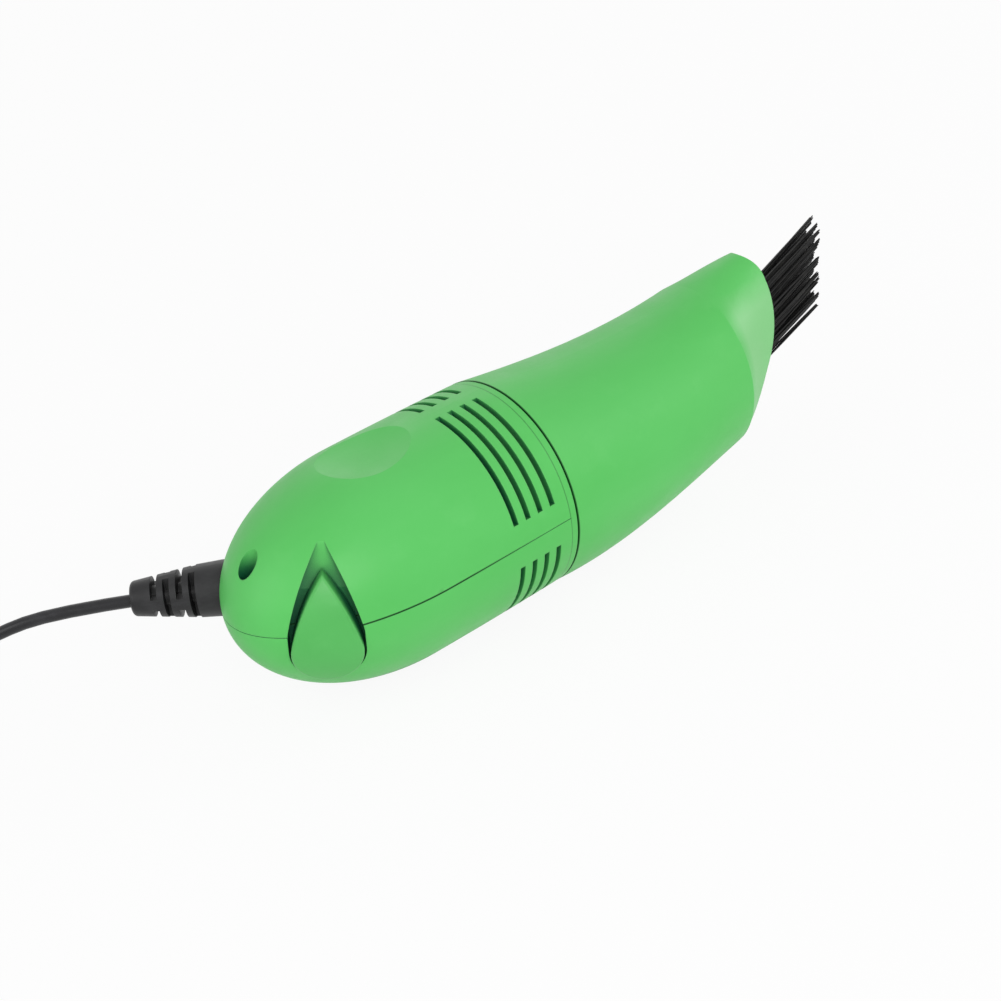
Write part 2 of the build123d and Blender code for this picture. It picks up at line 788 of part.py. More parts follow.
shaft_front = impeller_hub_length - impeller_disc_wall - impeller_back
with BuildPart() as motor_shaft:
    with BuildSketch(station(-motor_rear - end_cap_wall - rear_boss_height)):
        Circle(shaft_radius)
    extrude(amount=motor_rear + end_cap_wall + rear_boss_height + shaft_front)
motor_shaft.part.label = "motor_shaft"
export_step(motor_shaft.part, "parts/motor_shaft.step")

# Motor plate, its two screws, the motor's can and the end cap behind it
with BuildPart() as motor_plate:
    with BuildSketch(station(-motor_front)):
        Circle(plate_radius)
        Circle(motor_boss_radius + fit_gap, mode=Mode.SUBTRACT)
        for side in (1, -1):
            with Locations((0, side * motor_screw_out)):
                Circle(motor_screw_radius + shaft_gap, mode=Mode.SUBTRACT)
    extrude(amount=plate_wall)
motor_plate.part.label = "motor_plate"
export_step(motor_plate.part, "parts/motor_plate.step")

with BuildPart() as motor_screws:
    for side in (1, -1):
        with BuildSketch(station(-plate_back)):
            with Locations((0, side * motor_screw_out)):
                Circle(motor_screw_head_radius)
        extrude(amount=motor_screw_head_height)
        with BuildSketch(station(-plate_back - motor_screw_length)):
            with Locations((0, side * motor_screw_out)):
                Circle(motor_screw_radius)
        extrude(amount=motor_screw_length)
motor_screws.part.label = "motor_screws"
export_step(motor_screws.part, "parts/motor_screws.step")

with BuildPart() as motor_can:
    with BuildSketch(station(-motor_rear)):
        Circle(motor_radius)
    extrude(amount=motor_length)
    fillet(motor_can.edges().sort_by(Axis.X)[-1], radius=motor_edge)
    with BuildSketch(station(-motor_front)):
        Circle(motor_boss_radius)
    extrude(amount=motor_boss_height)
    with BuildSketch(station(-motor_rear)):
        Circle(shaft_radius + shaft_gap)
    extrude(amount=motor_length + motor_boss_height, mode=Mode.SUBTRACT)
    with BuildSketch(station(-plate_back - motor_screw_length - fit_gap)):
        for side in (1, -1):
            with Locations((0, side * motor_screw_out)):
                Circle(motor_screw_radius + shaft_gap)
    extrude(amount=motor_screw_length + fit_gap, mode=Mode.SUBTRACT)
motor_can.part.label = "motor_can"
export_step(motor_can.part, "parts/motor_can.step")

with BuildPart() as motor_end_cap:
    with BuildSketch(station(-motor_rear)):
        Circle(end_cap_radius)
    extrude(amount=-end_cap_wall)
    with BuildSketch(station(-motor_rear - end_cap_wall)):
        Circle(rear_boss_radius)
    extrude(amount=-rear_boss_height)
    with BuildSketch(station(-motor_rear)):
        Circle(shaft_radius + shaft_gap)
    extrude(amount=-end_cap_wall - rear_boss_height, mode=Mode.SUBTRACT)
motor_end_cap.part.label = "motor_end_cap"
export_step(motor_end_cap.part, "parts/motor_end_cap.step")

end_cap_rear = motor_rear + end_cap_wall
with BuildPart() as motor_terminals:
    for side in (1, -1):
        with BuildSketch(station(-end_cap_rear)):
            with Locations((0, side * terminal_out)):
                Rectangle(terminal_width, terminal_wall)
        extrude(amount=-terminal_length)
motor_terminals.part.label = "motor_terminals"
export_step(motor_terminals.part, "parts/motor_terminals.step")

with BuildPart() as motor_capacitor:
    with BuildSketch(station(-end_cap_rear)):
        with Locations((capacitor_out, 0)):
            Circle(capacitor_radius)
    extrude(amount=-capacitor_wall)
    fillet(motor_capacitor.edges().sort_by(Axis.X)[0], radius=capacitor_wall / 4)
motor_capacitor.part.label = "motor_capacitor"
export_step(motor_capacitor.part, "parts/motor_capacitor.step")

# Switch button: a teardrop whose face follows the housing, proud of it, with a forked stem
with BuildPart() as switch_button:
    with BuildSketch(switch_plane.offset(-button_inner_depth)):
        add(button_outline.sketch)
    extrude(amount=button_inner_depth + overrun)
    add(button_envelope.part, mode=Mode.INTERSECT)
    face_edges = switch_button.faces().sort_by(Axis(switch_plane.origin, switch_plane.z_dir))
    fillet(face_edges[-1].edges(), radius=button_edge)
    with BuildSketch(switch_plane.offset(-button_inner_depth)):
        Rectangle(stem_width, stem_height)
    extrude(amount=button_inner_depth + stem_end_gap - case_front_depth)
    with BuildSketch(switch_plane.offset(-button_inner_depth)):
        Rectangle(lever_width + 2 * fit_gap, lever_height + 2 * fit_gap)
    extrude(amount=button_inner_depth + stem_end_gap - case_front_depth, mode=Mode.SUBTRACT)
switch_button.part.label = "switch_button"
export_step(switch_button.part, "parts/switch_button.step")

# Slide switch behind the pocket's floor: case, pins, and the lever that the button carries
case_middle = button_travel / 2
case_front = case_front_depth + part_gap
cavity_depth = case_depth - case_wall - case_base_wall
with BuildPart() as switch_case:
    with BuildSketch(switch_plane.offset(-case_front)):
        with Locations((0, case_middle)):
            Rectangle(case_width, case_height)
    extrude(amount=-case_depth)
    with BuildSketch(switch_plane.offset(-case_front - case_wall)):
        with Locations((0, case_middle)):
            Rectangle(case_width - 2 * case_wall, case_height - 2 * case_wall)
    extrude(amount=-cavity_depth, mode=Mode.SUBTRACT)
    with BuildSketch(switch_plane.offset(-case_front)):
        with Locations((0, case_middle)):
            Rectangle(lever_width + 2 * run_gap, lever_height + button_travel + 2 * run_gap)
    extrude(amount=-case_wall, mode=Mode.SUBTRACT)
switch_case.part.label = "switch_case"
export_step(switch_case.part, "parts/switch_case.step")

with BuildPart() as switch_lever:
    with BuildSketch(switch_plane.offset(-case_front - case_wall - fit_gap)):
        Rectangle(lever_foot_width, lever_foot_height)
    extrude(amount=-lever_foot_wall)
    with BuildSketch(switch_plane.offset(-case_front - case_wall - fit_gap)):
        Rectangle(lever_width, lever_height)
    extrude(amount=part_gap + case_wall + fit_gap + lever_reach)
switch_lever.part.label = "switch_lever"
export_step(switch_lever.part, "parts/switch_lever.step")

with BuildPart() as switch_pins:
    with BuildSketch(switch_plane.offset(-case_front - case_depth)):
        for i in range(pin_count):
            with Locations((0, case_middle + (i - (pin_count - 1) / 2) * pin_pitch)):
                Circle(pin_radius)
    extrude(amount=-pin_length)
switch_pins.part.label = "switch_pins"
export_step(switch_pins.part, "parts/switch_pins.step")

# Boot: a tapering sleeve on the cable with staggered half slots, clamped by its flange
with BuildPart() as cable_boot:
    with BuildSketch(boot_side):
        with BuildLine():
            Polyline(
                (boot_length, 0),
                (-boot_root_length, 0),
                (-boot_root_length, boot_root_radius),
                (-flange_inner, boot_root_radius),
                (-flange_inner, boot_flange_radius),
                (-boot_flange_inset, boot_flange_radius),
                (-boot_flange_inset, boot_base_radius),
                (0, boot_base_radius),
                (boot_collar_length, boot_collar_radius),
                (boot_length, boot_tip_radius),
                (boot_length, 0),
            )
        make_face()
    revolve(axis=boot_axis)
    tip_rim = cable_boot.edges().filter_by(GeomType.CIRCLE).sort_by(boot_axis)[-1]
    fillet(tip_rim, radius=boot_tip_edge)
    for i in range(boot_slot_count):
        reach = boot_collar_length + i * (boot_slot_width + boot_rib_width)
        with BuildSketch(boot_plane.offset(reach)):
            Circle(boot_flange_radius)
            Circle(boot_core_radius, mode=Mode.SUBTRACT)
            with Locations(Rotation(0, 0, 90 * (i % 2))):
                Rectangle(2 * boot_flange_radius, boot_web_width, mode=Mode.SUBTRACT)
        extrude(amount=boot_slot_width, mode=Mode.SUBTRACT)
    with BuildSketch(boot_plane.offset(-boot_root_length)):
        Circle(cable_diameter / 2 + cable_bore_gap)
    extrude(amount=boot_root_length + boot_length, mode=Mode.SUBTRACT)
cable_boot.part.label = "cable_boot"
export_step(cable_boot.part, "parts/cable_boot.step")

# Cable from the housing down to the surface, in straight runs joined by arcs
boot_along = boot_plane.z_dir
boot_foot = boot_plane.origin - Vector(0, 0, axis_height)


def arc_radii(points):
    """Largest even radii for the bends of a route, each from its shorter run."""
    radii = []
    for before, corner, after in zip(points, points[1:], points[2:]):
        turn = radians((corner - before).get_angle(after - corner))
        shorter = min((corner - before).length, (after - corner).length)
        radii.append(bend_share * shorter / tan(turn / 2))
    return radii


cable_radius = cable_diameter / 2
coil_height = tie_wall + tie_gap + cable_radius
cable_points = [
    boot_foot + boot_along * s + Vector(0, 0, coil_height + share * (axis_height - coil_height))
    for s, share in cable_route
]
cable_radii = arc_radii(cable_points)
print("cable radii", [round(r, 1) for r in cable_radii])
with BuildPart() as cable:
    with BuildLine() as cable_line:
        FilletPolyline(cable_points, radius=cable_radii)
    with BuildSketch(Plane(cable_line.line @ 0, z_dir=cable_line.line % 0)):
        Circle(cable_radius)
    sweep()
cable.part.label = "cable"
export_step(cable.part, "parts/cable.step")
print("cable", cable.part.volume / (pi * cable_radius ** 2), cable_line.wires()[0].length)

# Put-away coil: one tube that spirals in, climbs a layer in a half turn, and spirals out on top
half_pitch = coil_pitch / 2
half_turns = 4 * coil_turns
outer_turn = coil_middle_radius + (coil_turns + 1 / 2) * half_pitch
inner_turn = outer_turn - coil_turns * coil_pitch
coil_plane = Plane(
    origin=boot_foot
    + boot_along * cable_route[-1][0]
    - boot_along.cross(Vector(0, 0, 1)) * outer_turn,
    x_dir=boot_along.cross(Vector(0, 0, 1)),
    z_dir=(0, 0, 1),
)
turn_ends = [Vector(outer_turn, 0, coil_height)]
for i in range(half_turns):
    turn = outer_turn - min(i, half_turns - i) * half_pitch
    across = Vector(2 * turn if i % 2 else -2 * turn, 0, 0)
    if i == 2 * coil_turns:
        lift = Vector(0, 0, coil_pitch)
        crest = Vector(0, hypot(turn, half_pitch), 0)
        turn_ends.append(turn_ends[-1] + (across + lift) / 2 + crest)
        turn_ends.append(turn_ends[-2] + across + lift)
    else:
        turn_ends.append(turn_ends[-1] + across)
last_bow = radians(coil_end_angle)
turn_ends.append(
    turn_ends[-1] + Vector(outer_turn * (cos(last_bow) - 1), outer_turn * sin(last_bow), 0)
)

points_per_bow = 24
coil_points = []
with BuildPart() as cable_coil:
    with BuildLine() as coil_line:
        spot = coil_plane.from_local_coords(turn_ends[0])
        heading = coil_plane.y_dir
        for end in turn_ends[1:]:
            bow = TangentArc(spot, coil_plane.from_local_coords(end), tangent=heading)
            spot, heading = bow @ 1, bow % 1
            coil_points += [bow @ (k / points_per_bow) for k in range(points_per_bow)]
    with BuildSketch(Plane(coil_line.line @ 0, z_dir=coil_line.line % 0)):
        Circle(cable_radius)
    sweep()
cable_coil.part.label = "cable_coil"
export_step(cable_coil.part, "parts/cable_coil.step")

# Least gap of the coil to itself, measured between points a half turn apart or more
least = min(
    (p - q).length
    for n, p in enumerate(coil_points)
    for q in coil_points[n + points_per_bow:]
)
print("coil length", coil_line.wires()[0].length, "least gap", least - cable_diameter)
print("coil solid", cable_coil.part.volume / (pi * cable_radius ** 2))

# Tie: a flat band round the bundle of turns
band_half = tie_width / 2
band_inner = sqrt(inner_turn ** 2 - band_half ** 2) - cable_radius - tie_gap
band_outer = outer_turn + cable_radius + tie_gap
band_middle = Vector(0, (band_inner + band_outer) / 2, coil_height + half_pitch)
band_reach = band_outer - band_inner
band_height = coil_pitch + cable_diameter + 2 * tie_gap
with BuildPart() as cable_tie:
    tie_plane = Plane(
        origin=coil_plane.from_local_coords(band_middle),
        x_dir=coil_plane.y_dir,
        z_dir=coil_plane.x_dir,
    )
    with BuildSketch(tie_plane):
        RectangleRounded(band_reach + 2 * tie_wall, band_height + 2 * tie_wall, tie_corner)
        RectangleRounded(band_reach, band_height, tie_corner - tie_wall, mode=Mode.SUBTRACT)
    extrude(amount=band_half, both=True)
cable_tie.part.label = "cable_tie"
export_step(cable_tie.part, "parts/cable_tie.step")

# Tail of the cable, from the coil to the plug
tail_start = Vector(spot.X, spot.Y, 0)
tail_way = Vector(heading.X, heading.Y, 0).normalized()
tail_points = [tail_start + tail_way * s + Vector(0, 0, h) for s, h in tail_route]
with BuildPart() as cable_tail:
    with BuildLine() as tail_line:
        FilletPolyline(tail_points, radius=arc_radii(tail_points))
    with BuildSketch(Plane(tail_line.line @ 0, z_dir=tail_line.line % 0)):
        Circle(cable_radius)
    sweep()
cable_tail.part.label = "cable_tail"
export_step(cable_tail.part, "parts/cable_tail.step")

# Plug: a moulded body with its collar, and the metal shell with the tongue and contacts
plug_plane = Plane(
    origin=tail_points[-1], x_dir=Vector(0, 0, 1).cross(tail_way), z_dir=tail_way
)
plug_front = plug_collar_length + plug_body_length
plug_half_height = tail_route[-1][1]
with BuildPart() as usb_body:
    with BuildSketch(plug_plane):
        Circle(plug_collar_radius)
    extrude(amount=plug_collar_length)
    with BuildSketch(plug_plane.offset(plug_collar_length)):
        RectangleRounded(plug_body_width, 2 * plug_half_height, plug_corner)
    extrude(amount=plug_body_length)
    end_faces = usb_body.faces().filter_by(GeomType.PLANE).sort_by(Axis(plug_plane.origin, tail_way))
    fillet(end_faces[-1].edges(), radius=plug_edge)
    with BuildSketch(plug_plane.offset(plug_front - plug_shell_root)):
        Rectangle(plug_shell_width + 2 * fit_gap, plug_shell_height + 2 * fit_gap)
    extrude(amount=plug_shell_root, mode=Mode.SUBTRACT)
usb_body.part.label = "usb_body"
export_step(usb_body.part, "parts/usb_body.step")

shell_start = plug_front - plug_shell_root
hollow_width = plug_shell_width - 2 * plug_shell_wall
hollow_height = plug_shell_height - 2 * plug_shell_wall
with BuildPart() as usb_shell:
    with BuildSketch(plug_plane.offset(shell_start)):
        Rectangle(plug_shell_width, plug_shell_height)
        Rectangle(hollow_width, hollow_height, mode=Mode.SUBTRACT)
    extrude(amount=plug_shell_root + plug_shell_length)
    window_plane = Plane(
        origin=plug_plane.origin + tail_way * (plug_front + plug_window_out),
        x_dir=plug_plane.x_dir,
        z_dir=(0, 0, 1),
    )
    with BuildSketch(window_plane):
        with GridLocations(plug_window_spacing, plug_window_length, 2, 1):
            Rectangle(plug_window_width, plug_window_length)
    extrude(amount=plug_shell_height, both=True, mode=Mode.SUBTRACT)
usb_shell.part.label = "usb_shell"
export_step(usb_shell.part, "parts/usb_shell.step")

tongue_width = hollow_width - 2 * fit_gap
tongue_middle = (hollow_height - plug_tongue_wall) / 2 - fit_gap
with BuildPart() as usb_tongue:
    with BuildSketch(plug_plane.offset(shell_start)):
        with Locations((0, tongue_middle)):
            Rectangle(tongue_width, plug_tongue_wall)
    extrude(amount=plug_shell_root + plug_shell_length - plug_tongue_back)
usb_tongue.part.label = "usb_tongue"
export_step(usb_tongue.part, "parts/usb_tongue.step")

contact_height = tongue_middle - (plug_tongue_wall + plug_contact_wall) / 2
with BuildPart() as usb_contacts:
    with BuildSketch(plug_plane.offset(plug_front)):
        with Locations((0, contact_height)):
            with GridLocations(plug_contact_pitch, plug_contact_wall, plug_contact_count, 1):
                Rectangle(plug_contact_width, plug_contact_wall)
    extrude(amount=plug_contact_length)
usb_contacts.part.label = "usb_contacts"
export_step(usb_contacts.part, "parts/usb_contacts.step")

# Wires inside the housing, each along its own route from the body axis at the seam
red_points = [axis_start + Vector(point) for point in red_route]
with BuildPart() as red_lead:
    with BuildLine() as red_line:
        FilletPolyline(red_points, radius=arc_radii(red_points))
    with BuildSketch(Plane(red_line.line @ 0, z_dir=red_line.line % 0)):
        Circle(lead_diameter / 2)
    sweep()
red_lead.part.label = "red_lead"
export_step(red_lead.part, "parts/red_lead.step")

black_points = [axis_start + Vector(point) for point in black_route]
with BuildPart() as black_lead:
    with BuildLine() as black_line:
        FilletPolyline(black_points, radius=arc_radii(black_points))
    with BuildSketch(Plane(black_line.line @ 0, z_dir=black_line.line % 0)):
        Circle(lead_diameter / 2)
    sweep()
black_lead.part.label = "black_lead"
export_step(black_lead.part, "parts/black_lead.step")

bridge_points = [axis_start + Vector(point) for point in bridge_route]
with BuildPart() as bridge_lead:
    with BuildLine() as bridge_line:
        FilletPolyline(bridge_points, radius=arc_radii(bridge_points))
    with BuildSketch(Plane(bridge_line.line @ 0, z_dir=bridge_line.line % 0)):
        Circle(lead_diameter / 2)
    sweep()
bridge_lead.part.label = "bridge_lead"
export_step(bridge_lead.part, "parts/bridge_lead.step")
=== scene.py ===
import math
import random

import bpy
from mathutils import Matrix, Vector


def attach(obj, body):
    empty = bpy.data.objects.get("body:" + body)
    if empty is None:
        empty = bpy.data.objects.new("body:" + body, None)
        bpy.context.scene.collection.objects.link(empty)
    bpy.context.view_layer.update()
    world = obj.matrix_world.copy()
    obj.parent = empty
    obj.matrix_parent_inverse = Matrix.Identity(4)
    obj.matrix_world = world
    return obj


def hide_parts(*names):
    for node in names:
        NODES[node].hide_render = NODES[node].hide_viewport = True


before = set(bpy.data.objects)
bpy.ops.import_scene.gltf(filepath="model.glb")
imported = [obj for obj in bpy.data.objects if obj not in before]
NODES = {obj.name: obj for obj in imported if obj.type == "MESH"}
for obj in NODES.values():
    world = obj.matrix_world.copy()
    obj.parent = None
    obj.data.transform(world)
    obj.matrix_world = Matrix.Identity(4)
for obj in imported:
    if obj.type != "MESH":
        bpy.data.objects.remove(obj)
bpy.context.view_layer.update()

# Lengths are in metres. The body lies along X, with its nose toward +X.
SEAM_X = -0.01298
AXIS_Z = 0.0226


def placed(name, data):
    """A new object in the scene."""
    made = bpy.data.objects.new(name, data)
    bpy.context.scene.collection.objects.link(made)
    return made


# ---------------------------------------------------------------- camera
# A camera fitted to points that were marked on the photograph
PHOTO_WIDTH_PX = 1001.0
FOCAL_PX = 3000.0
SENSOR_WIDTH_MM = 36.0
CAMERA_AT = (SEAM_X - 0.31545, -0.42486, AXIS_Z + 0.28661)
AZ, EL, ROLL = math.radians(-36.45), math.radians(28.77), math.radians(9.48)

back = Vector((math.sin(AZ) * math.cos(EL), -math.cos(AZ) * math.cos(EL), math.sin(EL)))
level_right = Vector((math.cos(AZ), math.sin(AZ), 0))
level_up = back.cross(level_right)
right = level_right * math.cos(ROLL) - level_up * math.sin(ROLL)
up = level_right * math.sin(ROLL) + level_up * math.cos(ROLL)
spot = Vector(CAMERA_AT)

cam_data = bpy.data.cameras.new("camera")
cam_data.sensor_fit = "HORIZONTAL"
cam_data.sensor_width = SENSOR_WIDTH_MM
cam_data.lens = SENSOR_WIDTH_MM * FOCAL_PX / PHOTO_WIDTH_PX
cam_data.clip_start = 0.01
cam_data.clip_end = 20.0
cam = placed("camera", cam_data)
cam.matrix_world = Matrix((
    (right.x, up.x, back.x, spot.x),
    (right.y, up.y, back.y, spot.y),
    (right.z, up.z, back.z, spot.z),
    (0, 0, 0, 1),
))
bpy.context.scene.camera = cam

# ---------------------------------------------------------------- the cable
# The cable leaves the boot, drops to the floor, winds in on the coil's lower layer, climbs, winds
# out on its upper one, and ends at the plug.
CABLE_RADIUS = 0.0013
CABLE_TURN = math.radians(41.5)
ALONG = Vector((-math.cos(CABLE_TURN), math.sin(CABLE_TURN), 0))
SIDE = ALONG.cross(Vector((0, 0, 1)))
BOOT = Vector((SEAM_X - 0.05955, 0.0148, 0))

COIL_Z = 0.00185
DROP = AXIS_Z - COIL_Z
# Way along the cable, and share of the drop that is left there
ROUTE = ((-0.0065, 1.0), (0.031, 1.0), (0.050, 0.76), (0.066, 0.26), (0.078, 0.0))

PITCH = 0.0031
TURNS = 4
HALF_TURNS = 4 * TURNS
CLIMB = 2 * TURNS
POINTS_PER_HALF = 8
POINTS_IN_LAST_HALF = 6
OUTER = 0.015 + (TURNS + 0.5) * PITCH / 2
COIL = BOOT + ALONG * 0.088 - SIDE * OUTER

TAIL_ANGLE = math.radians(135)
# Way along the tail, and height over the floor
TAIL = ((0.0, 0.00495), (0.004, 0.00495), (0.010, 0.0043), (0.014, 0.0043))


def raised(height):
    return Vector((0, 0, height))


def coil_height(half, step):
    """Height of the cable at a point of one of the coil's half turns."""
    if half < CLIMB:
        return COIL_Z
    if half == CLIMB:
        return COIL_Z + PITCH * (step + 0.5) / POINTS_PER_HALF
    return COIL_Z + PITCH


def coil_points():
    """Half turns of growing and shrinking radius, each round its own middle."""
    made = []
    # The control points lie farther out than the curve by this factor
    spread = 1 / math.cos(math.pi / (2 * POINTS_PER_HALF))
    start_at = OUTER
    for half in range(HALF_TURNS + 1):
        radius = OUTER - min(half, HALF_TURNS - half) * PITCH / 2
        sign = -1 if half % 2 else 1
        middle = start_at - sign * radius
        for step in range(POINTS_PER_HALF if half < HALF_TURNS else POINTS_IN_LAST_HALF):
            angle = math.pi * (half + (step + 0.5) / POINTS_PER_HALF)
            flat = Vector((
                middle + radius * spread * math.cos(angle),
                radius * spread * math.sin(angle),
                0,
            ))
            height = coil_height(half, step)
            made.append(COIL + SIDE * flat.x + ALONG * flat.y + raised(height))
        start_at -= sign * 2 * radius
    return made


def tail_points():
    """The free end, straight on from the coil to the plug."""
    begin = COIL + SIDE * (OUTER * math.cos(TAIL_ANGLE)) + ALONG * (OUTER * math.sin(TAIL_ANGLE))
    way = ALONG * math.cos(TAIL_ANGLE) - SIDE * math.sin(TAIL_ANGLE)
    return [begin + way * s + raised(h) for s, h in TAIL]


points = [BOOT + ALONG * s + raised(COIL_Z + DROP * share) for s, share in ROUTE]
points += coil_points() + tail_points()

cable_curve = bpy.data.curves.new("cable_line", "CURVE")
cable_curve.dimensions = "3D"
spline = cable_curve.splines.new("NURBS")
spline.points.add(len(points) - 1)
for p, co in zip(spline.points, points):
    p.co = (co.x, co.y, co.z, 1)
    p.radius = CABLE_RADIUS
spline.order_u = 3
spline.use_endpoint_u = True
spline.resolution_u = 6
# The points carry the radius in metres, because Blender adds it to the curve's box as it is
cable_curve.bevel_depth = 1.0
cable_curve.bevel_resolution = 5
cable_curve.use_fill_caps = True
cable = placed("power_cable", cable_curve)
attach(cable, "housing")
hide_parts("cable", "cable_coil", "cable_tail")


# ---------------------------------------------------------------- shader nodes
def link(tree, a, b):
    tree.links.new(a, b)


def node(tree, kind, values=None, **settings):
    """A new node with its settings, and the plain values of its named inputs."""
    made = tree.nodes.new(kind)
    for name, value in settings.items():
        setattr(made, name, value)
    for name, value in (values or {}).items():
        made.inputs[name].default_value = value
    return made


def reckoned(tree, operation, a, b):
    """What a Math node makes of two values, each a socket or a number."""
    made = node(tree, "ShaderNodeMath", operation=operation)
    for socket, value in zip(made.inputs, (a, b)):
        if isinstance(value, float):
            socket.default_value = value
        else:
            link(tree, value, socket)
    return made.outputs[0]


def start(name, color, rough, metal=0.0, spec=0.5):
    mat = bpy.data.materials.new(name)
    mat.use_nodes = True
    tree = mat.node_tree
    shader = tree.nodes["Principled BSDF"]
    shader.inputs["Base Color"].default_value = (*color, 1)
    shader.inputs["Roughness"].default_value = rough
    shader.inputs["Metallic"].default_value = metal
    shader.inputs["Specular IOR Level"].default_value = spec
    place = node(tree, "ShaderNodeTexCoord").outputs["Object"]
    return mat, tree, shader, place


def noise(tree, place, scale, detail=3.0, rough=0.5, stretch=None):
    if stretch:
        mapping = node(tree, "ShaderNodeMapping", {"Scale": stretch})
        link(tree, place, mapping.inputs["Vector"])
        place = mapping.outputs["Vector"]
    made = node(
        tree, "ShaderNodeTexNoise", {"Scale": scale, "Detail": detail, "Roughness": rough}
    )
    link(tree, place, made.inputs["Vector"])
    return made.outputs["Fac"]


def ranged(tree, value, low, high, to_low, to_high):
    """The value, brought from one range to another and kept inside it."""
    made = node(tree, "ShaderNodeMapRange", {
        "From Min": low, "From Max": high, "To Min": to_low, "To Max": to_high,
    })
    link(tree, value, made.inputs["Value"])
    return made.outputs["Result"]


def mixed(tree, factor, a, b):
    """A colour between two others, each a socket or three numbers."""
    made = node(tree, "ShaderNodeMix", data_type="RGBA")
    link(tree, factor, made.inputs[0])
    for socket, value in ((made.inputs[6], a), (made.inputs[7], b)):
        if isinstance(value, tuple):
            socket.default_value = (*value, 1)
        else:
            link(tree, value, socket)
    return made.outputs[2]


def bumped(tree, shader, height, strength, distance, normal=None):
    made = node(tree, "ShaderNodeBump", {"Strength": strength, "Distance": distance})
    link(tree, height, made.inputs["Height"])
    if normal:
        link(tree, normal, made.inputs["Normal"])
    link(tree, made.outputs["Normal"], shader.inputs["Normal"])


def soft_edges(tree, radius):
    return node(tree, "ShaderNodeBevel", {"Radius": radius}, samples=6).outputs["Normal"]


def edge_mask(tree, rounded):
    """0 on open faces, 1 close to an edge of the solid."""
    flat = node(tree, "ShaderNodeNewGeometry").outputs["Normal"]
    dot = node(tree, "ShaderNodeVectorMath", operation="DOT_PRODUCT")
    link(tree, rounded, dot.inputs[0])
    link(tree, flat, dot.inputs[1])
    return ranged(tree, dot.outputs["Value"], 0.99, 0.8, 0.0, 1.0)


def painted_crevice_shade(tree, reach):
    """1 in deep gaps and grooves, where painted shade goes, 0 on open faces."""
    made = node(tree, "ShaderNodeAmbientOcclusion", {"Distance": reach}, samples=8)
    return ranged(tree, made.outputs["AO"], 0.20, 0.80, 1.0, 0.0)


def split_place(tree, place):
    parts = node(tree, "ShaderNodeSeparateXYZ")
    link(tree, place, parts.inputs[0])
    return parts.outputs


def painted_joint_shade(tree, place, axis, at, half_width, strength, fades=()):
    """A painted line of shade along a joint, in a plane across an axis.

    Each fade holds two (x, share) pairs, between which the line's strength changes.
    """
    parts = split_place(tree, place)
    away = node(tree, "ShaderNodeMath", operation="ABSOLUTE")
    link(tree, reckoned(tree, "SUBTRACT", parts[axis], at), away.inputs[0])
    mask = ranged(tree, away.outputs[0], half_width * 0.6, half_width, strength, 0.0)
    for (x0, share0), (x1, share1) in fades:
        share = ranged(tree, parts["X"], x0, x1, share0, share1)
        mask = reckoned(tree, "MULTIPLY", mask, share)
    return mask


def painted_lip_highlight(tree, place):
    """A painted highlight: the lip of the nose, ahead of its bend, is given a paler tone."""
    parts = split_place(tree, place)
    ahead = ranged(tree, parts["X"], SEAM_X + 0.0552, SEAM_X + 0.0585, 0.0, 0.42)
    low = ranged(tree, parts["Z"], 0.0415, 0.0365, 0.0, 1.0)
    return reckoned(tree, "MULTIPLY", ahead, low)


# ---------------------------------------------------------------- materials
def moulded(name, color, light, dark, rough, crevice_shade_color, edge=0.00025, spec=0.5, lines=(), lip=None):
    """Moulded plastic: a fine grain, faint flow marks, edges lighter partly from wear and partly as
    a painted highlight, painted shade in the gaps and painted shade lines along the joints.
    """
    mat, tree, shader, place = start(name, color, rough, spec=spec)
    rounded = soft_edges(tree, edge)
    edge_lightening = edge_mask(tree, rounded)
    flow = noise(tree, place, 28.0, 4.0, 0.55, (0.5, 1.6, 1.6))
    speck = noise(tree, place, 1900.0, 2.0, 0.6)
    blotch = noise(tree, place, 130.0, 5.0, 0.6)
    tone = mixed(tree, ranged(tree, flow, 0.35, 0.65, 0.0, 1.0), dark, color)
    tone = mixed(tree, ranged(tree, blotch, 0.55, 0.78, 0.0, 0.25), tone, light)
    # Lighter edges: partly wear, partly a painted edge highlight
    tone = mixed(tree, ranged(tree, edge_lightening, 0.0, 1.0, 0.0, 0.55), tone, light)
    # Painted shade: darker in gaps, grooves and recesses
    tone = mixed(tree, painted_crevice_shade(tree, 0.007), tone, crevice_shade_color)
    # Painted shade lines along the joints
    for line in lines:
        tone = mixed(tree, painted_joint_shade(tree, place, *line), tone, JOINT_SHADE_GREEN)
    # A painted highlight on the nose's lip
    if lip:
        tone = mixed(tree, painted_lip_highlight(tree, place), tone, lip)
    link(tree, tone, shader.inputs["Base Color"])
    patchy = ranged(tree, blotch, 0.3, 0.7, rough - 0.05, rough + 0.07)
    grainy = ranged(tree, speck, 0.3, 0.7, -0.03, 0.03)
    link(tree, reckoned(tree, "ADD", patchy, grainy), shader.inputs["Roughness"])
    bumped(tree, shader, speck, 0.12, 0.00006, rounded)
    return mat


